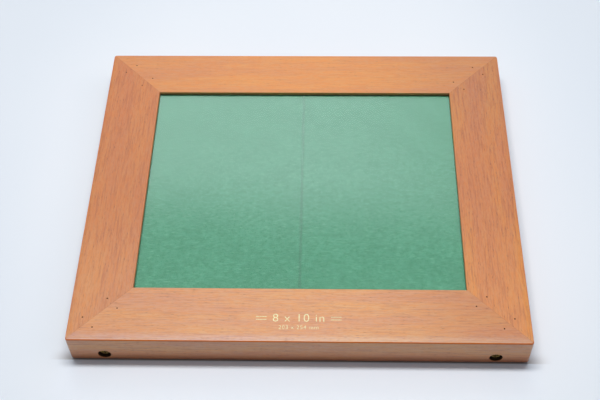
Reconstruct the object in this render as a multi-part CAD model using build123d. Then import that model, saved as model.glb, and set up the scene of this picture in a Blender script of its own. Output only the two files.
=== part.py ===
"""Contact printing frame for 8 x 10 inch sheets, lying with its glass side up.

Four mitred hardwood rails hold a sheet of plate glass against a thin lip. Behind the glass lies a back in
two halves, each a board faced with green felt, joined by two butt hinges along the middle. A bowed leaf
spring turns on a pivot screw in the middle of each half, and its tips slip behind brass keepers let into
the front and rear rails, which presses the felt, paper and negative against the glass.

Millimetres, with X along the longer rails, Y from front to rear and Z up. The origin is the middle of the
underside. The springs are drawn turned just clear of their keepers, so that every piece can move from here.
"""

import os
from math import asin, cos, radians, sin, sqrt

from build123d import *

# Driving dimensions, in millimetres and degrees
SHEET_LONG = 254.0  # the window is the 8 x 10 in sheet
SHEET_SHORT = 203.2
RAIL_WIDTH = 46.0
RAIL_HEIGHT = 30.5
LIP_THICKNESS = 2.8
REBATE_WIDTH = 6.0  # how far the rebate for glass and back goes past the window, on each side
RECESS_WIDTH = 7.0  # how far the shallower recess for the spring tips goes past the rebate
RECESS_HEIGHT = 10.0
TOP_ROUND = 2.0  # the frame's outer edges above
BOTTOM_ROUND = 3.0  # and below
CORNER_ROUND = 2.2  # its four upright corners
WINDOW_ROUND = 0.8  # the window's upper edge
SPARE = 1.0  # how far a cutting shape reaches past what it cuts

GLASS_THICKNESS = 2.2
GLASS_CLEARANCE = 0.6
GLASS_EDGE = 0.5
PAPER_GAP = 0.3  # between glass and felt, for the negative and the paper
FELT_THICKNESS = 3.0
FELT_INSET = 2.5  # from the board's outer edges to the felt's
BOARD_THICKNESS = 12.7
BOARD_EDGE = 0.6
BACK_CLEARANCE = 1.8  # between the back and the rebate's wall
SPLIT_GAP = 0.3  # between the two halves of the back

SPLINE_LENGTH = 40.0  # along the mitre
SPLINE_WIDTH = 20.0  # across it
SPLINE_THICKNESS = 3.2
SPLINE_MIDDLE = 35.0  # from the frame's outer corner, along the mitre
SPLINE_HEIGHT = 16.0
BRAD_RADIUS = 0.6
BRAD_LENGTH = 16.5
BRAD_SET = 0.3  # how far a brad's head lies below the surface
BRAD_ACROSS = 6.0
BRADS_ALONG = {  # set by hand, so they differ from corner to corner, given as side and end
    (-1, -1): (21.2, 44.7),
    (1, -1): (23.5, 50.5),
    (-1, 1): (25.0, 47.5),
    (1, 1): (27.0, 52.5),
}

CORNER_SCREW_INSETS = (26.5, 25.5)  # from the frame's left and right sides to the screws' axes
CORNER_SCREW_HEIGHT = 9.0
COUNTERBORE_RADIUS = 5.0
COUNTERBORE_DEPTH = 4.5
CORNER_HEAD_RADIUS = 4.2
CORNER_HEAD_THICKNESS = 2.6
CORNER_HEAD_ROUND = 1.8
CORNER_SHANK_RADIUS = 2.1
CORNER_SHANK_LENGTH = 42.0
CORNER_TIP_LENGTH = 5.0
CROSS_LENGTH = 5.0  # the recess for a cross-head driver
CROSS_WIDTH = 1.2
CROSS_DEPTH = 1.4

HINGE_OFFSET = 72.0  # from the middle of the back to the middle of a hinge
HINGE_LENGTH = 38.0
LEAF_WIDTH = 16.0
LEAF_THICKNESS = 1.2
LEAF_ROUND = 1.5
KNUCKLE_RADIUS = 2.6
KNUCKLE_COUNT = 5
KNUCKLE_GAP = 0.15
KNUCKLE_DROP = 0.3  # from the board down to the knuckles
KNUCKLE_CLEARANCE = 0.4  # round the other leaf's knuckles
PIN_RADIUS = 1.25
PIN_HEAD_RADIUS = 2.0
PIN_HEAD_THICKNESS = 0.8
HINGE_SCREWS_ALONG = (-13.0, 0.0, 13.0)
HINGE_SCREW_OUT = (10.5, 7.5, 10.5)  # from the pin to each screw

SPRING_WIDTH = 16.0
SPRING_THICKNESS = 0.9
SPRING_BOW = 3.4  # how much lower its tips are than its middle
SPRING_END_GAP = 2.0  # from its tip to the recess's wall
SPRING_TIP_ROUND = 4.0
CURL_RADIUS = 8.0  # the turned-up tips
CURL_ANGLE = 28.0
SPRING_REST_TURN = 14.0  # from lying under its keepers to where it is drawn
WASHER_RADIUS = 7.5
WASHER_THICKNESS = 1.0
PIVOT_RADIUS = 2.5
PIVOT_FIT = 0.06
PIVOT_HEAD_RADIUS = 6.0
PIVOT_HEAD_THICKNESS = 2.0
PIVOT_HEAD_ROUND = 1.4
PIVOT_SLOT_WIDTH = 1.2
PIVOT_SLOT_DEPTH = 0.9
PIVOT_THREAD_RADIUS = 2.0
PIVOT_THREAD_LENGTH = 7.0
PIVOT_PLAY = 0.05  # above the spring, and below it
INSERT_RADIUS = 3.6
INSERT_LENGTH = 7.6

KEEPER_WIDTH = 24.0
KEEPER_IN_RAIL = 14.0
KEEPER_OVERHANG = 6.8  # over the recess, so that the back can pass it
KEEPER_THICKNESS = 1.2
KEEPER_GAP = 0.3  # between a keeper and the spring's tip
KEEPER_LEAD_IN = 0.7
KEEPER_ROUND = 3.0
KEEPER_FIT = 0.2  # round a keeper in its pocket
KEEPER_SCREW_SPREAD = 12.0
KEEPER_SCREW_IN = 8.0  # from the recess's wall
STOP_RADIUS = 1.1  # the pin in each keeper that stops the spring's tip
STOP_HEIGHT = 2.0  # above the keeper
STOP_GAP = 0.5  # from the latched spring
STOP_OUT = 3.4  # from the recess's wall

SMALL_HEAD_RADIUS = 2.7  # countersunk wood screws of the hinges and keepers
SMALL_SHANK_RADIUS = 1.3
SMALL_SHANK_LENGTH = 8.0
SMALL_TIP_LENGTH = 2.5
SMALL_SLOT_DEPTH = 0.6
SMALL_SLOT_WIDTH = 0.8
SCREW_TIP_RADIUS = 0.3
FASTENER_PLAY = 0.05  # round screws, threads and hinge pins

# Sizes and heights worked out from those
FRAME_LONG = SHEET_LONG + 2 * RAIL_WIDTH
FRAME_SHORT = SHEET_SHORT + 2 * RAIL_WIDTH
REBATE_LONG = SHEET_LONG + 2 * REBATE_WIDTH
REBATE_SHORT = SHEET_SHORT + 2 * REBATE_WIDTH
RECESS_LONG = REBATE_LONG + 2 * RECESS_WIDTH
RECESS_SHORT = REBATE_SHORT + 2 * RECESS_WIDTH
LIP_BOTTOM = RAIL_HEIGHT - LIP_THICKNESS
GLASS_BOTTOM = LIP_BOTTOM - GLASS_THICKNESS
FELT_TOP = GLASS_BOTTOM - PAPER_GAP
BOARD_TOP = FELT_TOP - FELT_THICKNESS
BOARD_BOTTOM = BOARD_TOP - BOARD_THICKNESS
HALF_LONG = REBATE_LONG / 2 - BACK_CLEARANCE - SPLIT_GAP / 2
HALF_SHORT = REBATE_SHORT - 2 * BACK_CLEARANCE
HALF_MIDDLE = SPLIT_GAP / 2 + HALF_LONG / 2
PIN_HEIGHT = BOARD_BOTTOM - KNUCKLE_RADIUS - KNUCKLE_DROP
SPRING_TOP = BOARD_BOTTOM - WASHER_THICKNESS - PIVOT_PLAY
SPRING_REACH = RECESS_SHORT / 2 - SPRING_END_GAP
KEEPER_TOP = SPRING_TOP - SPRING_THICKNESS - SPRING_BOW - KEEPER_GAP
KEEPER_BOTTOM = KEEPER_TOP - KEEPER_THICKNESS

SIDES = {"left": -1, "right": 1}
ENDS = {"front": -1, "rear": 1}
UPRIGHT = (Align.CENTER, Align.CENTER, Align.MIN)


def block(x, y, z):
    """A box between pairs of limits."""
    size = (x[1] - x[0], y[1] - y[0], z[1] - z[0])
    return Pos(x[0], y[0], z[0]) * Box(*size, align=(Align.MIN, Align.MIN, Align.MIN))


def rod(radius, low, high):
    """An upright cylinder on the Z axis, from one height to another."""
    return Pos(0, 0, low) * Cylinder(radius, high - low, align=UPRIGHT)


def cone(low_radius, high_radius, low, high):
    """An upright cone on the Z axis, from one height to another."""
    return Pos(0, 0, low) * Cone(low_radius, high_radius, high - low, align=UPRIGHT)


def save(name, shape):
    """Writes a piece, or a list of like pieces that share a node."""
    if isinstance(shape, list):
        shape = Compound(children=[part.solid() for part in shape])
    export_step(shape, f"parts/{name}.step")


def frame_corner(side, end, along, across):
    """A point given along a corner's mitre, inwards, and across it, positive into the front or rear rail."""
    x = side * (FRAME_LONG / 2 - (along + across) / sqrt(2))
    y = end * (FRAME_SHORT / 2 - (along - across) / sqrt(2))
    return x, y


# The rails and what joins them


def frame_ring():
    """The whole frame in one, with its window, rebate, recess and rounded edges."""
    ring = Pos(0, 0, RAIL_HEIGHT / 2) * Box(FRAME_LONG, FRAME_SHORT, RAIL_HEIGHT)
    ring = fillet(ring.edges().filter_by(Axis.Z), CORNER_ROUND)
    ring = fillet(ring.faces().sort_by(Axis.Z)[-1].edges(), TOP_ROUND)
    ring = fillet(ring.faces().sort_by(Axis.Z)[0].edges(), BOTTOM_ROUND)
    window = Pos(0, 0, RAIL_HEIGHT / 2) * Box(SHEET_LONG, SHEET_SHORT, 2 * RAIL_HEIGHT)
    rebate = Pos(0, 0, LIP_BOTTOM / 2) * Box(REBATE_LONG, REBATE_SHORT, LIP_BOTTOM)
    recess = Pos(0, 0, RECESS_HEIGHT / 2) * Box(RECESS_LONG, RECESS_SHORT, RECESS_HEIGHT)
    ring = ring - window - rebate - recess
    top = ring.faces().sort_by(Axis.Z)[-1]
    return fillet(top.inner_wires()[0].edges(), WINDOW_ROUND)


def rail_wedge(name):
    """The prism between the two mitre planes that bound a rail."""
    long, short = FRAME_LONG / 2, FRAME_SHORT / 2
    if name in ENDS:
        s = ENDS[name]
        outline = [
            (-long - SPARE, s * (short + SPARE)),
            (long + SPARE, s * (short + SPARE)),
            (long - short, 0),
            (short - long, 0),
        ]
    else:
        s = SIDES[name]
        outline = [
            (s * (long + SPARE), -short - SPARE),
            (s * (long + SPARE), short + SPARE),
            (s * (long - short), 0),
        ]
    return extrude(make_face(Polyline(*outline, close=True)), RAIL_HEIGHT)


def corner_spline(side, end):
    """The hidden key that crosses a mitre."""
    x, y = frame_corner(side, end, SPLINE_MIDDLE, 0)
    turn = 45 * side * end
    key = Box(SPLINE_LENGTH, SPLINE_WIDTH, SPLINE_THICKNESS)
    return Pos(x, y, SPLINE_HEIGHT) * Rot(0, 0, turn) * key


def corner_brads(side, end, top=RAIL_HEIGHT - BRAD_SET):
    """Headless brads that pin the spline, two each side of the mitre; with a higher top, their holes."""
    low = RAIL_HEIGHT - BRAD_SET - BRAD_LENGTH
    places = [(along, across) for along in BRADS_ALONG[side, end] for across in (-BRAD_ACROSS, BRAD_ACROSS)]
    points = [frame_corner(side, end, along, across) for along, across in places]
    return [Pos(x, y, 0) * rod(BRAD_RADIUS, low, top) for x, y in points]


def corner_screw_place(side, end):
    """Where a corner screw lies: its local Z runs inwards from the middle of its counterbore's mouth."""
    x = side * (FRAME_LONG / 2 - CORNER_SCREW_INSETS[side > 0])
    return Pos(x, end * FRAME_SHORT / 2, CORNER_SCREW_HEIGHT) * Rot(90 * end, 0, 0)


def corner_screw():
    """A pan-headed wood screw with a cross recess, seated at the bottom of its counterbore."""
    head_top = COUNTERBORE_DEPTH - CORNER_HEAD_THICKNESS
    head = rod(CORNER_HEAD_RADIUS, head_top, COUNTERBORE_DEPTH)
    head = fillet(head.faces().sort_by(Axis.Z)[0].edges(), CORNER_HEAD_ROUND)
    tip_start = COUNTERBORE_DEPTH + CORNER_SHANK_LENGTH - CORNER_TIP_LENGTH
    shank = rod(CORNER_SHANK_RADIUS, COUNTERBORE_DEPTH, tip_start)
    tip = cone(CORNER_SHANK_RADIUS, SCREW_TIP_RADIUS, tip_start, tip_start + CORNER_TIP_LENGTH)
    slot = Pos(0, 0, head_top) * Box(CROSS_LENGTH, CROSS_WIDTH, 2 * CROSS_DEPTH)
    return head + shank + tip - slot - Rot(0, 0, 90) * slot


def corner_screw_hole():
    """What a corner screw's counterbore and pilot hole take out of the rails."""
    bore = rod(COUNTERBORE_RADIUS, -SPARE, COUNTERBORE_DEPTH)
    pilot = rod(CORNER_SHANK_RADIUS + FASTENER_PLAY, 0, COUNTERBORE_DEPTH + CORNER_SHANK_LENGTH)
    return bore + pilot


def small_screw():
    """A countersunk wood screw: its head is flush with the plane Z = 0 and its shank points up."""
    sink = SMALL_HEAD_RADIUS - SMALL_SHANK_RADIUS
    head = cone(SMALL_HEAD_RADIUS, SMALL_SHANK_RADIUS, 0, sink)
    tip_start = SMALL_SHANK_LENGTH - SMALL_TIP_LENGTH
    shank = rod(SMALL_SHANK_RADIUS, sink, tip_start)
    tip = cone(SMALL_SHANK_RADIUS, SCREW_TIP_RADIUS, tip_start, SMALL_SHANK_LENGTH)
    slot = Box(3 * SMALL_HEAD_RADIUS, SMALL_SLOT_WIDTH, 2 * SMALL_SLOT_DEPTH)
    return head + shank + tip - slot


def small_screw_hole():
    """What a small screw takes out of the plate it holds and the wood behind."""
    sink = SMALL_HEAD_RADIUS - SMALL_SHANK_RADIUS
    head = cone(SMALL_HEAD_RADIUS + FASTENER_PLAY, SMALL_SHANK_RADIUS + FASTENER_PLAY, 0, sink)
    return head + rod(SMALL_SHANK_RADIUS + FASTENER_PLAY, 0, SMALL_SHANK_LENGTH)


# The keepers, drawn for the front rail: Y runs inwards from the recess's wall, X from the spring's axis


def keeper_place(side, end):
    """Where a keeper lies. The rear ones are turned half round."""
    turn = Rot(0, 0, 180) if end > 0 else Rot(0, 0, 0)
    return Pos(side * HALF_MIDDLE, end * RECESS_SHORT / 2, 0) * turn


def keeper_outline(margin=0):
    """The plan of a keeper, grown all round by a margin, with rounded corners at its rail end."""
    length = KEEPER_IN_RAIL + KEEPER_OVERHANG
    plan = Rectangle(KEEPER_WIDTH + 2 * margin, length + 2 * margin)
    plan = Pos(0, (KEEPER_OVERHANG - KEEPER_IN_RAIL) / 2) * plan
    return fillet(plan.vertices().sort_by(Axis.Y)[:2], KEEPER_ROUND)


def keeper_screw_places():
    """Where a keeper's two screws lie, in the keeper's own place."""
    half = KEEPER_SCREW_SPREAD / 2
    return [Pos(x, -KEEPER_SCREW_IN, KEEPER_BOTTOM) for x in (-half, half)]


def keeper_stop_pin(spare=0):
    """The pin riveted into a keeper, which stops the spring's tip; with some spare below, its hole."""
    x = -SPRING_WIDTH / 2 - STOP_GAP - STOP_RADIUS
    return Pos(x, STOP_OUT, 0) * rod(STOP_RADIUS, KEEPER_BOTTOM - spare, KEEPER_TOP + STOP_HEIGHT)


def keeper():
    """A brass plate with a hole for its stop pin at one side and a bevelled lead-in at the other."""
    plate = Pos(0, 0, KEEPER_BOTTOM) * extrude(keeper_outline(), KEEPER_THICKNESS)
    lead_in = plate.edges().filter_by(Axis.Y).group_by(Axis.X)[-1].sort_by(Axis.Z)[-1]
    plate = chamfer(lead_in, KEEPER_LEAD_IN) - keeper_stop_pin(SPARE)
    for place in keeper_screw_places():
        plate -= place * small_screw_hole()
    return plate


def keeper_pocket():
    """What a keeper and its screws take out of the rail."""
    pocket = Pos(0, 0, -SPARE) * extrude(keeper_outline(KEEPER_FIT), KEEPER_TOP + SPARE)
    for place in keeper_screw_places():
        pocket += place * small_screw_hole()
    return pocket


def rails():
    """The four rails, each cut from the ring and bored for what it holds."""
    ring = frame_ring()
    cuts = {name: [] for name in [*ENDS, *SIDES]}
    for side_name, side in SIDES.items():
        for end_name, end in ENDS.items():
            shared = corner_brads(side, end, RAIL_HEIGHT + SPARE)
            shared.append(corner_spline(side, end))
            shared.append(corner_screw_place(side, end) * corner_screw_hole())
            cuts[side_name] += shared
            cuts[end_name] += shared
            cuts[end_name].append(keeper_place(side, end) * keeper_pocket())
    return {name: (ring & rail_wedge(name)) - Compound(cuts[name]) for name in cuts}


# The glass and the back


def glass():
    """Plate glass with ground edges, lying against the lip."""
    long = REBATE_LONG - 2 * GLASS_CLEARANCE
    short = REBATE_SHORT - 2 * GLASS_CLEARANCE
    pane = Pos(0, 0, GLASS_BOTTOM + GLASS_THICKNESS / 2) * Box(long, short, GLASS_THICKNESS)
    return chamfer(pane.edges(), GLASS_EDGE)


def back_board(side):
    """One half of the back's board, with holes for its screws and pivot insert."""
    x = side * HALF_MIDDLE
    board = Pos(x, 0, BOARD_BOTTOM + BOARD_THICKNESS / 2) * Box(HALF_LONG, HALF_SHORT, BOARD_THICKNESS)
    board = chamfer(board.faces().sort_by(Axis.Z)[0].edges(), BOARD_EDGE)
    for place in hinge_screw_places(side):
        board -= place * small_screw_hole()
    hole = rod(INSERT_RADIUS, BOARD_BOTTOM, BOARD_BOTTOM + INSERT_LENGTH)
    return board - Pos(x, 0, 0) * hole


def felt(side):
    """The felt glued over one half of the back."""
    low, high = sorted((side * SPLIT_GAP / 2, side * (SPLIT_GAP / 2 + HALF_LONG - FELT_INSET)))
    reach = HALF_SHORT / 2 - FELT_INSET
    return block((low, high), (-reach, reach), (BOARD_TOP, FELT_TOP))


# The hinges


def knuckle_span(index):
    """The stretch of the pin that one knuckle takes, along Y from the hinge's middle."""
    step = HINGE_LENGTH / KNUCKLE_COUNT
    low = -HINGE_LENGTH / 2 + index * step
    return low + KNUCKLE_GAP / 2, low + step - KNUCKLE_GAP / 2


def hinge_screw_places(side):
    """Where one half's hinge screws lie, for both hinges."""
    places = []
    for end in ENDS.values():
        for along, out in zip(HINGE_SCREWS_ALONG, HINGE_SCREW_OUT):
            y = end * HINGE_OFFSET + along
            places.append(Pos(side * out, y, BOARD_BOTTOM - LEAF_THICKNESS))
    return places


def hinge_leaf(side, end):
    """A hinge's leaf with its knuckles: the left one has three of them, the right one the two between."""
    own_first = 0 if side < 0 else 1
    y = end * HINGE_OFFSET
    z = (BOARD_BOTTOM - LEAF_THICKNESS, BOARD_BOTTOM)
    low, high = sorted((0, side * LEAF_WIDTH))
    leaf = block((low, high), (y - HINGE_LENGTH / 2, y + HINGE_LENGTH / 2), z)
    leaf = fillet(leaf.edges().filter_by(Axis.Z).group_by(Axis.X)[-1 if side > 0 else 0], LEAF_ROUND)
    clear = KNUCKLE_RADIUS + KNUCKLE_CLEARANCE
    for index in range(KNUCKLE_COUNT):
        start, stop = knuckle_span(index)
        if index % 2 == own_first:
            middle = Pos(0, y + (start + stop) / 2, PIN_HEIGHT) * Rot(90, 0, 0)
            leaf += middle * Cylinder(KNUCKLE_RADIUS, stop - start)
        else:
            leaf -= block((-clear, clear), (y + start - KNUCKLE_GAP, y + stop + KNUCKLE_GAP), (0, BOARD_TOP))
    bore = Pos(0, y, PIN_HEIGHT) * Rot(90, 0, 0) * Cylinder(PIN_RADIUS + FASTENER_PLAY, 2 * HINGE_LENGTH)
    leaf -= bore
    for place in hinge_screw_places(side):
        leaf -= place * small_screw_hole()
    return leaf


def hinge_pin(end):
    """A hinge's pin, with a flat head at each end."""
    reach = HINGE_LENGTH / 2
    pin = rod(PIN_RADIUS, -reach, reach)
    for low in (-reach - PIN_HEAD_THICKNESS, reach):
        pin += rod(PIN_HEAD_RADIUS, low, low + PIN_HEAD_THICKNESS)
    return Pos(0, end * HINGE_OFFSET, PIN_HEIGHT) * Rot(90, 0, 0) * pin


# The leaf springs and their pivots


def spring_profile():
    """A spring seen from its side, in the YZ plane: one long arc with a small turned-up curl at each tip."""
    curl = radians(CURL_ANGLE)
    curl_run = CURL_RADIUS * sin(curl)
    half_chord = SPRING_REACH - curl_run
    radius = (half_chord**2 + SPRING_BOW**2) / (2 * SPRING_BOW)
    spread = asin(half_chord / radius)
    centre_z = SPRING_TOP - SPRING_THICKNESS - radius

    def on_bow(r, angle):
        return r * sin(angle), centre_z + r * cos(angle)

    curl_y, curl_z = on_bow(radius + SPRING_THICKNESS / 2 + CURL_RADIUS, spread)

    def on_curl(r, turn):
        return curl_y - r * sin(spread - turn), curl_z - r * cos(spread - turn)

    inner, outer = CURL_RADIUS - SPRING_THICKNESS / 2, CURL_RADIUS + SPRING_THICKNESS / 2
    under = [on_bow(radius, spread), on_curl(outer, curl / 2), on_curl(outer, curl)]
    over = [on_curl(inner, curl), on_curl(inner, curl / 2), on_bow(radius + SPRING_THICKNESS, spread)]

    def mirrored(point):
        return -point[0], point[1]

    edges = [
        ThreePointArc(mirrored(under[0]), on_bow(radius, 0), under[0]),
        ThreePointArc(*under),
        Line(under[-1], over[0]),
        ThreePointArc(*over),
        ThreePointArc(over[-1], on_bow(radius + SPRING_THICKNESS, 0), mirrored(over[-1])),
        ThreePointArc(*[mirrored(p) for p in reversed(over)]),
        Line(mirrored(over[0]), mirrored(under[-1])),
        ThreePointArc(*[mirrored(p) for p in reversed(under)]),
    ]
    return Plane.YZ * make_face(edges)


def spring_turn(side):
    """The place of a spring's pivot, turned to where the spring is drawn."""
    return Pos(side * HALF_MIDDLE, 0, 0) * Rot(0, 0, SPRING_REST_TURN)


def leaf_spring(side):
    """A bowed strip with rounded tips and a pivot hole."""
    strip = extrude(spring_profile(), SPRING_WIDTH / 2, both=True)
    plan = fillet(Rectangle(SPRING_WIDTH, 2 * SPRING_REACH).vertices(), SPRING_TIP_ROUND)
    strip &= extrude(plan, BOARD_BOTTOM)
    strip -= rod(PIVOT_RADIUS + PIVOT_FIT, 0, BOARD_BOTTOM)
    return spring_turn(side) * strip


def pivot_washer(side):
    """The washer between the board and the spring."""
    ring = rod(WASHER_RADIUS, BOARD_BOTTOM - WASHER_THICKNESS, BOARD_BOTTOM)
    return Pos(side * HALF_MIDDLE, 0, 0) * (ring - rod(PIVOT_RADIUS + PIVOT_FIT, 0, BOARD_TOP))


def pivot_screw(side):
    """The shouldered screw that the spring turns on."""
    head_top = SPRING_TOP - SPRING_THICKNESS - PIVOT_PLAY
    head_bottom = head_top - PIVOT_HEAD_THICKNESS
    head = rod(PIVOT_HEAD_RADIUS, head_bottom, head_top)
    head = fillet(head.faces().sort_by(Axis.Z)[0].edges(), PIVOT_HEAD_ROUND)
    head -= Pos(0, 0, head_bottom) * Box(3 * PIVOT_HEAD_RADIUS, PIVOT_SLOT_WIDTH, 2 * PIVOT_SLOT_DEPTH)
    shoulder = rod(PIVOT_RADIUS, head_top, BOARD_BOTTOM)
    thread = rod(PIVOT_THREAD_RADIUS, BOARD_BOTTOM, BOARD_BOTTOM + PIVOT_THREAD_LENGTH)
    return Pos(side * HALF_MIDDLE, 0, 0) * (head + shoulder + thread)


def pivot_insert(side):
    """The brass insert in the board that takes the pivot screw."""
    body = rod(INSERT_RADIUS, BOARD_BOTTOM, BOARD_BOTTOM + INSERT_LENGTH)
    hole = rod(PIVOT_THREAD_RADIUS + FASTENER_PLAY, BOARD_BOTTOM, BOARD_BOTTOM + INSERT_LENGTH)
    return Pos(side * HALF_MIDDLE, 0, 0) * (body - hole)


def write_frame():
    """The rails, their joints, the glass and the keepers."""
    for name, rail in rails().items():
        save(f"{name}_rail", rail)
    keeper_screws, stop_pins = [], []
    for end_name, end in ENDS.items():
        corner_screws = []
        for side_name, side in SIDES.items():
            corner = f"{end_name}_{side_name}"
            brads = corner_brads(side, end)
            save(f"{corner}_corner_brads", brads)
            save(f"{corner}_corner_spline", corner_spline(side, end) - Compound(brads))
            corner_screws.append(corner_screw_place(side, end) * corner_screw())
            save(f"{corner}_keeper", keeper_place(side, end) * keeper())
            stop_pins.append(keeper_place(side, end) * keeper_stop_pin())
            for place in keeper_screw_places():
                keeper_screws.append(keeper_place(side, end) * place * small_screw())
        save(f"{end_name}_corner_screws", corner_screws)
    save("keeper_screws", keeper_screws)
    save("keeper_stop_pins", stop_pins)
    save("glass", glass())


def write_back():
    """The two halves of the back, their hinges and their springs."""
    for name, side in SIDES.items():
        save(f"{name}_back_board", back_board(side))
        save(f"{name}_felt", felt(side))
        save(f"{name}_hinge_screws", [place * small_screw() for place in hinge_screw_places(side)])
        save(f"{name}_leaf_spring", leaf_spring(side))
        save(f"{name}_pivot_washer", pivot_washer(side))
        save(f"{name}_pivot_screw", pivot_screw(side))
        save(f"{name}_pivot_insert", pivot_insert(side))
        for end_name, end in ENDS.items():
            save(f"{end_name}_hinge_{name}_leaf", hinge_leaf(side, end))
    for end_name, end in ENDS.items():
        save(f"{end_name}_hinge_pin", hinge_pin(end))


os.makedirs("parts", exist_ok=True)
write_frame()
write_back()
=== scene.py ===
"""The looks of a contact printing frame: its finishes, felt and size mark, a table under it and the light.

The frame lies with its glass side up. Lengths are in metres, X along the longer rails, Y from front to rear.
"""

import math

import bmesh
import bpy
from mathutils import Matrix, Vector, noise


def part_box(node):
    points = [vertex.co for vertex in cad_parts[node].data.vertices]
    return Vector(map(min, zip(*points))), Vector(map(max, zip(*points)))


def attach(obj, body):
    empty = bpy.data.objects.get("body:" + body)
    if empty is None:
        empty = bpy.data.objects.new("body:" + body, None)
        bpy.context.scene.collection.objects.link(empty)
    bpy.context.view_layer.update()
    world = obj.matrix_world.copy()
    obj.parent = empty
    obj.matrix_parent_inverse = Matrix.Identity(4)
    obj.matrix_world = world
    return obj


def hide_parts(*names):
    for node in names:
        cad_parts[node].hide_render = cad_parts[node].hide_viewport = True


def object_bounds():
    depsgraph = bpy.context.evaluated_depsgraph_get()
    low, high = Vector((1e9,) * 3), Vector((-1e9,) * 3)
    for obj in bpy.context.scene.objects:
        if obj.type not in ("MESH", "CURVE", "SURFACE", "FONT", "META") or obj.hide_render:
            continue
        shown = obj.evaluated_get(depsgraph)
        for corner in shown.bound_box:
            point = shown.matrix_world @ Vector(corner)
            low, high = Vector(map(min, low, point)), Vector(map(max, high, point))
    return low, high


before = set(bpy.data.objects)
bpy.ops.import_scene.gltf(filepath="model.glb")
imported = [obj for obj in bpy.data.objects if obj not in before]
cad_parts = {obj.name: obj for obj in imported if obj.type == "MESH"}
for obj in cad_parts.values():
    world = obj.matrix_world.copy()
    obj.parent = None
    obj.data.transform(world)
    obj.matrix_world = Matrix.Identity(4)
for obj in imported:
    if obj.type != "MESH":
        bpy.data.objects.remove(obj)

CAD_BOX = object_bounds()
OUTER = CAD_BOX[1]


def srgb(red, green, blue):
    """A colour written as in a picture, 0 to 255, as the linear one that shaders take."""
    levels = [level / 255 for level in (red, green, blue)]
    linear = [c / 12.92 if c <= 0.04045 else ((c + 0.055) / 1.055) ** 2.4 for c in levels]
    return (*linear, 1.0)


# The rails' figure: how long each feature is along the grain, and how wide across it
BROAD = (0.120, 0.013)
WAVER = (0.080, 0.016)
STREAK = (0.021, 0.0014)
RIBBON = (0.017, 0.0024)
FIGURE = (0.0085, 0.0048)
FIBRE = (0.0062, 0.00060)
THREAD = (0.0055, 0.0011)
PORE = (0.0048, 0.00060)
WAVER_REACH = 0.0022
FIBRE_HEIGHT = 0.000012
PORE_DEPTH = 0.00003

# Each rail's board. It is warmest where it glows and greyest in its dark streaks. Its tones are partly the
# board's own and partly painted sheen: the side rails are darker and the front and rear ones paler. The ends
# are tints towards its left or front end, then its right or rear one, partly the board's own tone and partly
# painted sheen, and the depth is how strongly the grain shows.
RAILS = {
    "front_rail": {
        "axis": 0,
        "base": srgb(216, 145, 94), "glow": srgb(223, 152, 87), "shade": srgb(184, 120, 88),
        "ends": ((0.92, 0.87, 0.87, 1), (0.82, 0.70, 0.60, 1)),
        "depth": 1.2, "shift": 0.37,
    },
    "rear_rail": {
        "axis": 0,
        "base": srgb(218, 137, 75), "glow": srgb(226, 144, 69), "shade": srgb(194, 119, 72),
        "ends": ((0.91, 0.90, 1.0, 1), (0.81, 0.83, 1.07, 1)),
        "depth": 0.8, "shift": 4.11,
    },
    "left_rail": {
        "axis": 1,
        "base": srgb(196, 115, 62), "glow": srgb(203, 122, 60), "shade": srgb(172, 98, 56),
        "ends": ((1.09, 1.23, 1.43, 1), (1.02, 1.00, 1.03, 1)),
        "depth": 1.6, "shift": 8.23,
    },
    "right_rail": {
        "axis": 1,
        "base": srgb(199, 118, 65), "glow": srgb(207, 126, 59), "shade": srgb(172, 98, 58),
        "ends": ((1.12, 1.17, 1.03, 1), (0.92, 0.97, 1.15, 1)),
        "depth": 1.7, "shift": 12.9,
    },
}

# What lies over the rails' own colour: grain and mitres, and painted reflection, sheen, highlight and shade. A
# tint multiplies the colour under it.
MAUVE_TINT = (0.97, 1.13, 1.50, 1)
# Painted reflection of the pale table, which greys the outer faces
FACE_PAINTED_REFLECTION = (0.97, 1.055, 1.25, 1)
# Painted sheen on the top behind the front edge
PAINTED_SHEEN_TINT = (0.95, 1.10, 1.50, 1)
# Painted highlight on the front edge's rounding
CREST_PAINTED_HIGHLIGHT = (1.20, 1.46, 1.80, 1)
PORE_COLOUR = srgb(112, 72, 60)
SEAM_COLOUR = srgb(110, 64, 46)
# Painted shade: a saturated line at the foot of each edge's rounding, where it catches no sheen
EDGE_LINE_PAINTED_SHADE = srgb(212, 106, 10)
# Painted shade that darkens the outer faces towards the foot, where the table before them lies in shadow
FOOT_PAINTED_SHADE = (  # the height where each starts, where it is full, and its tint
    (0.0195, 0.0085, (0.92, 0.77, 0.66, 1)),
    (0.0120, 0.0010, (0.47, 0.32, 0.21, 1)),
)

# Where that begins and where it is full. Zones by height are measured from the top, which is 0, zones by inset
# from the nearest outer face, and zones by depth from the front face.
TOP_ZONE = (-0.0030, -0.0015)
FACE_ZONE = (-0.0012, -0.0016)
UPPER_ZONE = (-0.0008, -0.0005)
EDGE_LINE_ZONES = ((-0.0018, -0.0014), (-0.0004, -0.0007))
EDGE_LINE_INSET = (0.0016, 0.0010)
FOOT_INSET = (0.0060, 0.0035)
PAINTED_SHEEN_DEPTH = (0.0085, 0.0018)
CREST_DEPTH = (0.0013, 0.0006)
SEAM_WIDTH = (0.00030, 0.00006)
END_START = 0.15  # as a share of the way from the middle to the end
END_FULL = (0.95, 0.70)  # the same, for the rails along X and along Y

# The bump along the outer edges: from one inset to another, it goes from one height to another
EDGE_FALL = (0.0046, 0.0016, 0.0, -0.00016)
EDGE_RISE = (0.0015, 0.0003, 0.0, 0.0006)

# The corner screws' counterbores in the front and rear faces
BORE_PLACES = (-0.1465, 0.1475)
BORE_HEIGHT = 0.0090
BORE_RADIUS = 0.0050
# Painted shade inside the counterbores
BORE_PAINTED_SHADE = srgb(34, 24, 18)

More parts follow.
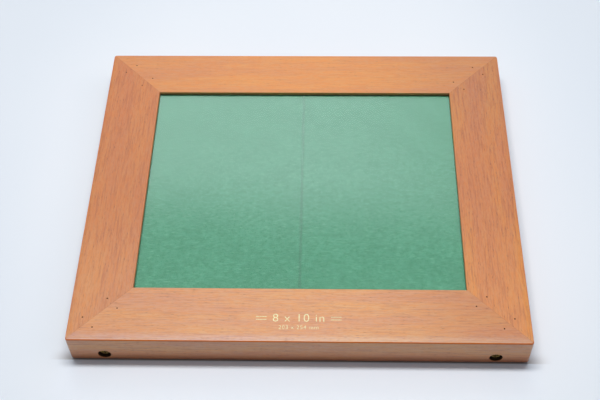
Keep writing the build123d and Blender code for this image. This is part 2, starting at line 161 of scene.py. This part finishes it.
# The plywood's plies
PLY_THICKNESS = 0.0019
PLY_OFFSET = 0.0004

# The felt
FELT_STEP = 0.0024
FELT_ROUNDING = 0.0008
FELT_ROUNDING_DROP = 0.6  # as a share of the rounding
FELT_LIFT = 0.00010
FELT_WAVES = 60  # per metre
FELT_HAIR_HEIGHT = 0.00008
SEAM_SWELL = 0.000145
SEAM_REACH = 0.0005  # what lies within this of the middle is the seam's edge

# The mark on the front rail: plain sizes between two double rules. Each line has its words, the height of
# its letters and its place before or behind the middle.
MARK_MIDDLE_Y = -0.1303
MARK_LINES = (("8 x 10 in", 0.0098, 0.0025), ("203 x 254 mm", 0.0046, -0.0054))
MARK_SPACING = 1.12
MARK_THINNING = 0.014  # as a share of the letters' height
MARK_RULE_START = 0.0240
MARK_RULE_REACH = 0.0320
MARK_RULE_WIDTH = 0.00045
MARK_RULE_GAP = 0.0024
FOIL_RISE = 0.00002

# The table
TABLE_REACH = 4.0
TABLE_TUCK = 0.0045  # how far it goes under the frame
TABLE_FADE = (0.7, 1.7)  # how far from the middle it starts to clear, and is clear
# Painted shade: the table grows duller away from the frame
TABLE_FAR = (0.16, 0.31)  # the same for the tint that it has far off, with the depth shortened
TABLE_FAR_SHORTENING = 0.6
TABLE_FAR_PAINTED_SHADE = (0.925, 0.94, 0.955, 1)
# Painted light: the table is paler and bluer just before the frame
TABLE_FRONT_PAINTED_LIGHT = (1.035, 1.055, 1.085, 1)
# Painted contact shadow where the frame touches the table
TABLE_TOUCHING_PAINTED_SHADOW = (0.48, 0.40, 0.34, 1)
# Painted shadow on the table beside the frame's left and right sides
TABLE_LEFT_PAINTED_SHADOW = (0.925, 0.950, 0.960, 1)
TABLE_RIGHT_PAINTED_SHADOW = (0.91, 0.945, 0.98, 1)

# The light
LAMP_POWER = 14.8
LAMP_PLACE = (-0.03, 0.126, 1.45)
LAMP_LENGTH = 0.86
LAMP_WIDTH = 0.17
LAMP_COLOUR = (1.0, 0.995, 0.990)
ROOM_COLOUR = (0.91, 0.97, 1.05, 1)
BACKGROUND = srgb(232, 238, 246)
ROOM_OVER_BACKGROUND = 1.13  # how much brighter the room's colour is than the background's

# The room's levels, over the direction from the frame: from one height to another, and for the dome also from
# front to rear, it goes from one level to another. The patch is brightest below two edges that slant up to the
# left, over a foot, and between two sides.
DOME_BY_HEIGHT = (0.45, 0.95, 0.08, 0.58)
DOME_BY_DEPTH = (-0.5, 0.5, 0.60, 1.25)
BELOW_BY_HEIGHT = (0.02, -0.02, 0.0, 0.85)
PATCH_EDGES = ((0.826, 0.778, 0.0, 2.10), (0.90, 0.74, 0.0, 1.00))
PATCH_SLANT = 0.11
PATCH_SLANT_START = -0.03
PATCH_FOOT = (0.55, 0.68)
PATCH_SIDES = ((-0.36, -0.18), (0.30, -0.02))
PATCH_DEPTH = (0.0, 0.1)

# The camera, fitted to the frame's corners in the photograph
CAMERA_PLACE = (0.0202, -0.5331, 0.7091)
CAMERA_TURN = (37.271, 0.945, 1.137)
CAMERA_FOCAL_PIXELS = 1053.2
IMAGE_WIDTH = 600
SENSOR_WIDTH = 36.0


# Materials


class Nodes:
    """A node tree in the making. Inputs are plain values or the outputs of other nodes."""

    def __init__(self, tree):
        self.tree = tree
        tree.nodes.clear()

    def node(self, kind, inputs=None, **settings):
        node = self.tree.nodes.new("ShaderNode" + kind)
        for name, setting in settings.items():
            setattr(node, name, setting)
        for name, source in (inputs or {}).items():
            if isinstance(source, bpy.types.NodeSocket):
                self.tree.links.new(source, node.inputs[name])
            else:
                node.inputs[name].default_value = source
        return node

    def math(self, operation, *values):
        return self.node("Math", dict(enumerate(values)), operation=operation).outputs[0]

    def product(self, first, *others):
        for other in others:
            first = self.math("MULTIPLY", first, other)
        return first

    def vector(self, operation, *values):
        return self.node("VectorMath", dict(enumerate(values)), operation=operation).outputs[0]

    def length(self, vector):
        return self.node("VectorMath", {0: vector}, operation="LENGTH").outputs["Value"]

    def split(self, vector):
        return self.node("SeparateXYZ", {0: vector}).outputs

    def join(self, x, y):
        return self.node("CombineXYZ", {0: x, 1: y}).outputs[0]

    def ramp(self, value, start, end, low=0.0, high=1.0):
        """Low up to start, high from end, and a smooth step between."""
        inputs = {"Value": value, "From Min": start, "From Max": end, "To Min": low, "To Max": high}
        return self.node("MapRange", inputs, interpolation_type="SMOOTHSTEP").outputs["Result"]

    def mix(self, factor, first, second, blend="MIX"):
        """The first colour where the factor is 0, and the second where it is 1."""
        inputs = {0: factor, 6: first, 7: second}
        return self.node("Mix", inputs, data_type="RGBA", blend_type=blend).outputs[2]

    def tint(self, factor, colour, tint):
        return self.mix(factor, colour, tint, "MULTIPLY")


class Shader(Nodes):
    """A material in the making, with its textures laid in the frame's own place."""

    def __init__(self, name):
        self.material = bpy.data.materials.new(name)
        self.material.use_nodes = True
        super().__init__(self.material.node_tree)
        self.place = self.node("TexCoord").outputs["Object"]

    def stretched(self, size, shift=0.0, place=None):
        """The place in cells of this size, a length for each axis, shifted so that pieces differ."""
        inputs = {"Vector": place or self.place, "Scale": [1 / s for s in size], "Location": [shift] * 3}
        return self.node("Mapping", inputs).outputs[0]

    def noise(self, size, detail=3.0, roughness=0.55, shift=0.0, place=None, output="Fac"):
        """Noise about 0.5, with features of this size: one length, or one for each axis."""
        size = (size,) * 3 if isinstance(size, float) else size
        inputs = {"Vector": self.stretched(size, shift, place), "Scale": 1.0}
        inputs.update({"Detail": detail, "Roughness": roughness})
        return self.node("TexNoise", inputs).outputs[output]

    def cells(self, size, shift=0.0, place=None):
        """Scattered points: the distance to the nearest, in cells, and a random number for each."""
        inputs = {"Vector": self.stretched(size, shift, place), "Scale": 1.0}
        node = self.node("TexVoronoi", inputs)
        return node.outputs["Distance"], self.split(node.outputs["Color"])[0]

    def bump(self, height):
        """A normal for a surface that rises by this height, in metres."""
        return self.node("Bump", {"Height": height, "Distance": 1.0}).outputs[0]

    def principled(self, **inputs):
        names = {name.replace("_", " ").title().replace("Ior", "IOR"): v for name, v in inputs.items()}
        return self.node("BsdfPrincipled", names).outputs[0]

    def finish(self, shader):
        output = self.node("OutputMaterial")
        self.tree.links.new(shader, output.inputs["Surface"])
        return self.material


class Outline:
    """Where a point of the rails lies: its place, how far above the top, and how far in from the faces."""

    def __init__(self, s):
        self.x, self.y, self.z = s.split(s.place)
        self.top = s.math("SUBTRACT", self.z, OUTER.z)
        self.inset_x = s.math("SUBTRACT", OUTER.x, s.math("ABSOLUTE", self.x))
        self.inset_y = s.math("SUBTRACT", OUTER.y, s.math("ABSOLUTE", self.y))
        self.inset = s.math("MINIMUM", self.inset_x, self.inset_y)
        self.from_front = s.math("ADD", self.y, OUTER.y)


def grain_size(axis, length, width):
    """A feature's size along and across wood whose grain runs along an axis, 0 for X and 1 for Y."""
    return [length if index == axis else width for index in range(3)]


def rail_grain(s, axis, base, glow, shade, depth, shift):
    """The rails' wood, with its fine streaks, soft figure and short dark pores.

    Gives its colour, and the textures of its figure, fibres and pores.
    """
    waver = s.noise(grain_size(axis, *WAVER), 2.0, shift=shift, output="Color")
    waver = s.vector("SUBTRACT", waver, (0.5, 0.5, 0.5))
    drift = [0.0 if index == axis else WAVER_REACH for index in range(3)]
    place = s.vector("ADD", s.place, s.vector("MULTIPLY", waver, drift))

    broad = s.noise(grain_size(axis, *BROAD), 2.0, shift=shift + 3.1, place=place)
    streak = s.noise(grain_size(axis, *STREAK), 4.0, 0.62, shift + 7.7, place)
    ribbon = s.noise(grain_size(axis, *RIBBON), 4.0, 0.66, shift + 4.4, place)
    fibre = s.noise(grain_size(axis, *FIBRE), 3.0, 0.7, shift + 1.9, place)
    thread = s.noise(grain_size(axis, *THREAD), 2.0, 0.6, shift + 6.6, place)
    figure = s.noise(grain_size(axis, *FIGURE), 3.0, 0.6, shift + 5.3)
    near, luck = s.cells(grain_size(axis, *PORE), shift + 2.3, place)
    crowd = s.math("ADD", 0.25, s.ramp(streak, 0.60, 0.38))
    pore = s.product(s.ramp(near, 0.34, 0.14), s.ramp(luck, 0.40, 1.0), crowd)

    colour = s.mix(s.ramp(broad, 0.35, 0.66), base, glow)
    colour = s.mix(s.ramp(figure, 0.44, 0.76, 0.0, 0.40), colour, glow)
    pale = s.math("ADD", s.ramp(ribbon, 0.40, 0.62, 0.0, 0.30), s.ramp(thread, 0.41, 0.59, 0.0, 0.70))
    colour = s.mix(pale, colour, s.tint(1.0, colour, MAUVE_TINT))
    colour = s.mix(s.ramp(streak, 0.54, 0.30, 0.0, 0.42 * depth), colour, shade)
    colour = s.mix(s.ramp(fibre, 0.50, 0.30, 0.0, 0.26 * depth), colour, shade)
    colour = s.mix(s.product(pore, 0.44 * depth), colour, PORE_COLOUR)
    return colour, figure, fibre, pore


def rail_drift(s, at, colour, axis, ends):
    """The top's tone drifts towards its ends, partly the board's own tone and partly painted sheen, and a
    painted reflection of the table makes the outer faces greyer.
    """
    above = s.ramp(at.top, *TOP_ZONE)
    along, start, full = (at.x, at.y)[axis], END_START * OUTER[axis], END_FULL[axis] * OUTER[axis]
    for end, tint in zip((-1, 1), ends):
        colour = s.tint(s.product(s.ramp(along, end * start, end * full), above), colour, tint)
    return s.tint(s.ramp(at.top, *FACE_ZONE), colour, FACE_PAINTED_REFLECTION)


def rail_seam(s, at, colour, figure):
    """The mitre's hairline, which runs where both outer faces are equally far."""
    seam = s.ramp(s.math("ABSOLUTE", s.math("SUBTRACT", at.inset_x, at.inset_y)), *SEAM_WIDTH)
    seam = s.product(seam, s.ramp(figure, 0.40, 0.60, 0.10, 0.34))
    return s.mix(seam, colour, SEAM_COLOUR)


def rail_painted_light(s, at, colour):
    """Painted light along the outer edges: a saturated line of painted shade at the foot of each rounding, and
    painted sheen and a painted highlight on the top behind the front one.

    Painted shade darkens the foot.
    """
    upper = s.ramp(at.top, *UPPER_ZONE)
    # Painted sheen, then a painted highlight, on the top just behind the front edge
    colour = s.tint(s.product(s.ramp(at.from_front, *PAINTED_SHEEN_DEPTH), upper), colour, PAINTED_SHEEN_TINT)
    colour = s.tint(s.product(s.ramp(at.from_front, *CREST_DEPTH), upper), colour, CREST_PAINTED_HIGHLIGHT)
    # Painted shade along the foot of each rounding
    line = s.product(*(s.ramp(at.top, *zone) for zone in EDGE_LINE_ZONES))
    colour = s.mix(s.product(line, s.ramp(at.inset, *EDGE_LINE_INSET)), colour, EDGE_LINE_PAINTED_SHADE)
    # Painted shade towards the foot of the outer faces
    outside = s.ramp(at.inset, *FOOT_INSET)
    for start, full, tint in FOOT_PAINTED_SHADE:
        colour = s.tint(s.product(s.ramp(at.z, start, full), outside), colour, tint)
    return colour


def rail_bores(s, at, colour):
    """The counterbores of the corner screws are darkened with painted shade."""
    left, right = (s.math("ABSOLUTE", s.math("SUBTRACT", at.x, place)) for place in BORE_PLACES)
    up = s.math("SUBTRACT", at.z, BORE_HEIGHT)
    off_axis = s.length(s.join(s.math("MINIMUM", left, right), up))
    bore = s.ramp(off_axis, BORE_RADIUS + 0.0005, BORE_RADIUS + 0.0002)
    return s.mix(s.product(bore, s.ramp(at.inset_y, 0.0001, 0.0005), 0.96), colour, BORE_PAINTED_SHADE)


def rail_wood(name, axis, base, glow, shade, ends, depth, shift):
    """Lacquered mahogany with hairline mitres, painted sheen and highlights along its front edge, and painted
    reflection and shade on its faces, foot and counterbores.
    """
    s = Shader(name)
    at = Outline(s)
    colour, figure, fibre, pore = rail_grain(s, axis, base, glow, shade, depth, shift)
    colour = rail_drift(s, at, colour, axis, ends)
    colour = rail_seam(s, at, colour, figure)
    colour = rail_painted_light(s, at, colour)
    colour = rail_bores(s, at, colour)

    # The bump leans into the rounding of the outer edges, then against it, which widens their highlight
    eased = s.math("ADD", s.ramp(at.inset, *EDGE_FALL), s.ramp(at.inset, *EDGE_RISE))
    height = s.math("SUBTRACT", s.product(fibre, FIBRE_HEIGHT), s.product(pore, PORE_DEPTH))
    gloss = s.math("ADD", s.ramp(fibre, 0.3, 0.7, 0.36, 0.44), s.product(pore, 0.2))
    normal = s.bump(s.math("ADD", height, eased))
    return s.finish(s.principled(base_color=colour, roughness=gloss, normal=normal))


def board_wood(name, shift):
    """Bare birch plywood: a pale face with fine grain, and its plies along the edges."""
    s = Shader(name)
    normal = s.node("TexCoord").outputs["Normal"]
    height = s.split(s.place)[2]
    broad = s.noise(grain_size(1, 0.150, 0.018), 2.0, shift=shift)
    streak = s.noise(grain_size(1, 0.050, 0.0016), 4.0, 0.62, shift + 3.0)
    fleck = s.noise(grain_size(1, 0.006, 0.0007), 2.0, 0.6, shift + 6.0)
    face = s.mix(s.ramp(broad, 0.35, 0.65), srgb(214, 184, 142), srgb(226, 199, 160))
    face = s.mix(s.ramp(streak, 0.55, 0.30, 0.0, 0.5), face, srgb(186, 150, 107))
    face = s.mix(s.ramp(fleck, 0.60, 0.78, 0.0, 0.35), face, srgb(170, 130, 90))
    ply = s.math("PINGPONG", s.math("ADD", height, PLY_OFFSET), PLY_THICKNESS)
    plies = s.mix(s.ramp(ply, 0.0008, 0.0011), srgb(196, 158, 112), srgb(160, 118, 78))
    level = s.math("ABSOLUTE", s.split(normal)[2])
    colour = s.mix(s.ramp(level, 0.5, 0.9), plies, face)
    gloss = s.ramp(streak, 0.3, 0.7, 0.62, 0.78)
    normal = s.bump(s.product(streak, 0.00006))
    return s.finish(s.principled(base_color=colour, roughness=gloss, normal=normal))


def felt(name, shift):
    """Green wool felt: matted fibres with lighter and darker hairs, and a soft bloom."""
    s = Shader(name)
    cloud = s.noise(0.024, 3.0, shift=shift)
    mat = s.noise((0.0046, 0.0036, 0.0032), 4.0, 0.65, shift + 4.0)
    hair = s.noise((0.0050, 0.00090, 0.0010), 3.0, 0.7, shift + 2.0)
    cross = s.noise((0.00090, 0.0042, 0.0010), 3.0, 0.7, shift + 9.0)
    colour = s.mix(s.ramp(cloud, 0.35, 0.65), srgb(62, 145, 109), srgb(71, 153, 117))
    colour = s.mix(s.ramp(mat, 0.38, 0.66, 0.0, 0.8), colour, srgb(45, 136, 95))
    colour = s.mix(s.ramp(hair, 0.50, 0.74, 0.0, 0.6), colour, srgb(118, 186, 150))
    colour = s.mix(s.ramp(cross, 0.54, 0.78, 0.0, 0.5), colour, srgb(42, 116, 84))
    height = s.math("ADD", s.math("ADD", hair, cross), s.product(mat, 2.0))
    shader = s.principled(
        base_color=colour,
        roughness=0.95,
        sheen_weight=0.20,
        sheen_roughness=0.5,
        normal=s.bump(s.product(height, FELT_HAIR_HEIGHT)),
    )
    return s.finish(shader)


def glass(name):
    """Clear plate glass. Light from lamps and from the felt passes it unbent, which keeps the felt lit."""
    s = Shader(name)
    body = s.principled(base_color=(0.955, 0.985, 0.970, 1), roughness=0.0, ior=1.52, transmission_weight=1.0)
    clear = s.node("BsdfTransparent", {"Color": (0.93, 0.965, 0.945, 1)}).outputs[0]
    path = s.node("LightPath").outputs
    for ray in ("Is Shadow Ray", "Is Diffuse Ray"):
        body = s.node("MixShader", {0: path[ray], 1: body, 2: clear}).outputs[0]
    return s.finish(body)


def metal(name, base, worn, roughness, size, shift=0.0):
    """A metal with cloudy tarnish and fine scratches along the longer of its feature sizes."""
    s = Shader(name)
    cloud = s.noise(0.009, 4.0, 0.6, shift)
    scratch = s.noise(size, 3.0, 0.65, shift + 5.0)
    colour = s.mix(s.ramp(cloud, 0.38, 0.68, 0.0, 0.8), base, worn)
    colour = s.mix(s.ramp(scratch, 0.58, 0.75, 0.0, 0.25), colour, worn)
    dull = s.ramp(cloud, 0.4, 0.8, 0, 0.1)
    gloss = s.math("ADD", s.ramp(scratch, 0.3, 0.7, roughness, roughness + 0.12), dull)
    normal = s.bump(s.product(scratch, 0.000006))
    return s.finish(s.principled(base_color=colour, metallic=1.0, roughness=gloss, normal=normal))


def gold_foil(name):
    """Hot-stamped foil, broken up a little where it didn't take."""
    s = Shader(name)
    patch = s.noise(0.0007, 3.0, 0.7)
    colour = s.mix(s.ramp(patch, 0.44, 0.66, 0.0, 0.75), srgb(216, 218, 170), srgb(212, 176, 124))
    gloss = s.ramp(patch, 0.3, 0.7, 0.45, 0.60)
    return s.finish(s.principled(base_color=colour, metallic=0.3, roughness=gloss))


def paint(node, material):
    """Gives a CAD node a material."""
    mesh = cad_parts[node].data
    mesh.materials.clear()
    mesh.materials.append(material)


def paint_parts():
    """Each rail has its own board, and the hardware and the back have brass, steel, plywood and glass."""
    for rail, board in RAILS.items():
        paint(rail, rail_wood(rail + "_wood", **board))
    screw_dark = metal("dark_brass", srgb(186, 158, 90), srgb(88, 70, 44), 0.46, 0.0012, 6.0)
    brass = metal("brass", srgb(200, 164, 92), srgb(158, 120, 62), 0.26, (0.004, 0.0003, 0.0010))
    screw_brass = metal("screw_brass", srgb(176, 140, 76), srgb(116, 86, 48), 0.34, 0.0012, 2.0)
    spring_size = (0.0004, 0.020, 0.0010)
    spring = metal("spring_steel", srgb(176, 173, 167), srgb(158, 154, 147), 0.26, spring_size, 1.0)
    steel = metal("steel_wire", srgb(132, 122, 112), srgb(84, 66, 52), 0.40, 0.0010, 3.0)
    rusty = metal("rusty_steel", srgb(58, 40, 30), srgb(38, 26, 20), 0.60, 0.0010, 3.0)
    spline_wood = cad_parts["rear_rail"].active_material
    kinds = (  # the first that a node's name holds is its material
        ("corner_screws", screw_dark),
        ("screw", screw_brass),
        ("leaf_spring", spring),
        ("brads", rusty),
        ("pin", steel),
        ("keeper", brass),
        ("hinge", brass),
        ("pivot", brass),
        ("spline", spline_wood),
    )
    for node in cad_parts:
        material = next((material for word, material in kinds if word in node), None)
        if material:
            paint(node, material)
    paint("glass", glass("plate_glass"))
    for shift, side in enumerate(("left", "right")):
        paint(side + "_back_board", board_wood(side + "_board_wood", 5.0 * shift))


# Pieces


def new_piece(name, mesh, material):
    """A piece in one material, from a mesh in the making, in the frame's place."""
    data = bpy.data.meshes.new(name)
    mesh.to_mesh(data)
    mesh.free()
    data.materials.append(material)
    piece = bpy.data.objects.new(name, data)
    bpy.context.collection.objects.link(piece)
    return piece


def felt_mesh(low, high):
    """A sheet of felt as one closed mesh: soft edges, square at the seam, and a top that lies slightly uneven.

    Its nap swells past the cut edge at the seam, so that the two halves all but meet.
    """
    counts = [math.ceil((high[i] - low[i]) / FELT_STEP) for i in range(2)]
    mesh = bmesh.new()
    bmesh.ops.create_grid(mesh, x_segments=counts[0], y_segments=counts[1], size=0.5)
    middle = (low + high) / 2
    reach = max(-low.x, high.x)
    for vertex in mesh.verts:
        vertex.co.x = middle.x + vertex.co.x * (high.x - low.x)
        vertex.co.y = middle.y + vertex.co.y * (high.y - low.y)
        inset = min(reach - abs(vertex.co.x), high.y - abs(vertex.co.y))
        bend = max(0.0, 1 - inset / FELT_ROUNDING)
        lift = FELT_LIFT * (noise.noise(vertex.co * FELT_WAVES) - 1)
        vertex.co.z = high.z + lift - bend * bend * FELT_ROUNDING * FELT_ROUNDING_DROP
        if abs(vertex.co.x) < SEAM_REACH:
            vertex.co.x -= math.copysign(SEAM_SWELL, vertex.co.x)
    rim = [edge for edge in mesh.edges if edge.is_boundary]
    skirt = bmesh.ops.extrude_edge_only(mesh, edges=rim)["geom"]
    for vertex in (item for item in skirt if isinstance(item, bmesh.types.BMVert)):
        vertex.co.z = low.z
    bottom = [item for item in skirt if isinstance(item, bmesh.types.BMEdge) and item.is_boundary]
    bmesh.ops.contextual_create(mesh, geom=bottom)
    bmesh.ops.recalc_face_normals(mesh, faces=mesh.faces)
    for face in mesh.faces:
        face.normal_update()
        face.smooth = face.normal.z > 0.5
    return mesh


def lay_felts():
    """The felt glued over each half of the back."""
    for shift, side in enumerate(("left", "right")):
        node = side + "_felt"
        low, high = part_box(node)
        piece = new_piece(node + "_sheet", felt_mesh(low, high), felt(side + "_green_felt", 6.0 * shift))
        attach(piece, side + "_half")
        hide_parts(node)


def text_mesh(words, size, middle_y):
    """Words in the built-in letters, centred across the frame and lying on the front rail."""
    curve = bpy.data.curves.new(words, "FONT")
    curve.body, curve.size = words, size
    curve.align_x, curve.align_y = "CENTER", "CENTER"
    curve.space_character = MARK_SPACING
    curve.offset = -size * MARK_THINNING
    holder = bpy.data.objects.new(words, curve)
    bpy.context.collection.objects.link(holder)
    mesh = bpy.data.meshes.new_from_object(holder.evaluated_get(bpy.context.evaluated_depsgraph_get()))
    bpy.data.objects.remove(holder)
    for vertex in mesh.vertices:
        vertex.co = Vector((vertex.co.x, middle_y + vertex.co.y, OUTER.z + FOIL_RISE))
    return mesh


def stamp_mark():
    """The gold mark on the front rail: the sheet's size in two lines, with a double rule on each side."""
    mesh = bmesh.new()
    for words, size, offset in MARK_LINES:
        mesh.from_mesh(text_mesh(words, size, MARK_MIDDLE_Y + offset))
    rules_y = MARK_MIDDLE_Y + MARK_LINES[0][2]
    near, far = MARK_RULE_START, MARK_RULE_REACH
    for side in (-1, 1):
        for y in (rules_y - MARK_RULE_GAP / 2, rules_y + MARK_RULE_GAP / 2):
            points = [
                (side * x, y + edge * MARK_RULE_WIDTH / 2, OUTER.z + FOIL_RISE)
                for x, edge in ((near, -1), (far, -1), (far, 1), (near, 1))
            ]
            mesh.faces.new([mesh.verts.new(point) for point in points])
    bmesh.ops.recalc_face_normals(mesh, faces=mesh.faces)
    piece = new_piece("size_mark", mesh, gold_foil("gold_foil"))
    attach(piece, "frame")


# Setting


def table_top():
    """A pale table top that is clear far off and when seen from below.

    Painted light makes it a little paler before the frame; painted shadow and shade make it duller beside it,
    where the frame touches it, and far off.
    """
    s = Shader("table")
    cloud = s.noise(0.35, 2.0)
    speck = s.noise(0.0016, 2.0)
    x, y, _ = s.split(s.place)
    colour = s.mix(s.ramp(cloud, 0.3, 0.7), srgb(233, 238, 244), srgb(236, 240, 245))
    far = s.length(s.join(x, s.product(y, TABLE_FAR_SHORTENING)))
    # Painted shade far off
    colour = s.tint(s.ramp(far, *TABLE_FAR), colour, TABLE_FAR_PAINTED_SHADE)

    past_x = s.math("SUBTRACT", s.math("ABSOLUTE", x), OUTER.x)
    past_y = s.math("SUBTRACT", s.math("ABSOLUTE", y), OUTER.y)
    in_front = s.product(s.math("LESS_THAN", y, 0.0), s.ramp(past_x, 0.020, -0.010))
    in_front = s.product(in_front, s.ramp(past_y, -0.010, -0.001))
    beside = s.ramp(past_y, 0.020, -0.020)
    on_left = s.product(s.math("LESS_THAN", x, 0.0), beside)
    on_right = s.math("SUBTRACT", beside, on_left)
    # Painted light before the frame, and painted shadow where it touches and beside it
    for where, distance, (start, full), tint in (
        (in_front, past_y, (0.048, 0.004), TABLE_FRONT_PAINTED_LIGHT),
        (in_front, past_y, (0.0007, -0.0005), TABLE_TOUCHING_PAINTED_SHADOW),
        (on_left, past_x, (0.055, 0.002), TABLE_LEFT_PAINTED_SHADOW),
        (on_right, past_x, (0.013, 0.001), TABLE_RIGHT_PAINTED_SHADOW),
    ):
        colour = s.tint(s.product(s.ramp(distance, start, full), where), colour, tint)
    colour = s.mix(s.ramp(speck, 0.70, 0.80, 0.0, 0.12), colour, srgb(205, 210, 220))

    top = s.principled(base_color=colour, roughness=0.8, specular_ior_level=0.15)
    clear = s.node("BsdfTransparent").outputs[0]
    below = s.node("NewGeometry").outputs["Backfacing"]
    gone = s.math("MAXIMUM", below, s.ramp(s.length(s.place), *TABLE_FADE))
    return s.finish(s.node("MixShader", {0: gone, 1: top, 2: clear}).outputs[0])


def lay_table():
    """A pale table, open under the frame so that the back can drop."""
    inner = (OUTER.x - TABLE_TUCK, OUTER.y - TABLE_TUCK)
    outer = (TABLE_REACH, TABLE_REACH)
    corners = [(-1, -1), (1, -1), (1, 1), (-1, 1)]
    mesh = bmesh.new()
    rings = [[mesh.verts.new((a * size[0], b * size[1], 0)) for a, b in corners] for size in (outer, inner)]
    for index in range(4):
        after = (index + 1) % 4
        mesh.faces.new([rings[0][index], rings[0][after], rings[1][after], rings[1][index]])
    new_piece("table", mesh, table_top())


def hang_lamp():
    """A long soft lamp overhead."""
    lamp = bpy.data.lights.new("key", "AREA")
    lamp.shape, lamp.size, lamp.size_y = "RECTANGLE", LAMP_LENGTH, LAMP_WIDTH
    lamp.energy, lamp.color = LAMP_POWER, LAMP_COLOUR
    holder = bpy.data.objects.new("key", lamp)
    bpy.context.collection.objects.link(holder)
    holder.location = LAMP_PLACE
    holder.visible_camera = False


def room_level(s):
    """How bright the room is by direction: dim, lighter overhead and below, with a bright patch low behind."""
    x, y, z = s.split(s.node("TexCoord").outputs["Generated"])
    dome = s.product(s.ramp(z, *DOME_BY_HEIGHT), s.ramp(y, *DOME_BY_DEPTH))
    left = s.math("MINIMUM", s.math("SUBTRACT", x, PATCH_SLANT_START), 0.0)
    slanted = s.math("SUBTRACT", z, s.product(left, PATCH_SLANT))
    patch = s.math("ADD", *(s.ramp(slanted, *edge) for edge in PATCH_EDGES))
    sides = s.product(*(s.ramp(x, *side) for side in PATCH_SIDES))
    patch = s.product(patch, s.ramp(z, *PATCH_FOOT), sides, s.ramp(y, *PATCH_DEPTH))
    return s.math("ADD", s.math("ADD", dome, patch), s.ramp(z, *BELOW_BY_HEIGHT))


def build_room():
    """The soft room, and the pale background in its place for the camera, glass and metal."""
    world = bpy.data.worlds.new("studio")
    bpy.context.scene.world = world
    world.use_nodes = True
    s = Nodes(world.node_tree)
    level = room_level(s)
    path = s.node("LightPath").outputs
    camera, glossy, transmission = (path[f"Is {kind} Ray"] for kind in ("Camera", "Glossy", "Transmission"))
    seen = s.math("MAXIMUM", s.math("MAXIMUM", camera, transmission), glossy)

    # A reflection shows the background, or the room where it is brighter than that
    mirrored = s.math("SUBTRACT", glossy, transmission)
    shine = s.math("MAXIMUM", 1.0, s.product(level, ROOM_OVER_BACKGROUND, mirrored))
    lit = s.node("Background", {"Color": ROOM_COLOUR, "Strength": level}).outputs[0]
    pale = s.node("Background", {"Color": BACKGROUND, "Strength": shine}).outputs[0]
    both = s.node("MixShader", {0: seen, 1: lit, 2: pale}).outputs[0]
    s.tree.links.new(both, s.node("OutputWorld").inputs["Surface"])


def place_camera():
    """The photograph's view."""
    camera = bpy.data.cameras.new("camera")
    camera.sensor_width = SENSOR_WIDTH
    camera.lens = CAMERA_FOCAL_PIXELS / IMAGE_WIDTH * SENSOR_WIDTH
    holder = bpy.data.objects.new("camera", camera)
    bpy.context.collection.objects.link(holder)
    holder.location = CAMERA_PLACE
    holder.rotation_euler = [math.radians(angle) for angle in CAMERA_TURN]
    bpy.context.scene.camera = holder


place_camera()
paint_parts()
lay_felts()
stamp_mark()
lay_table()
hang_lamp()
build_room()
bpy.context.scene.view_settings.view_transform = "Standard"
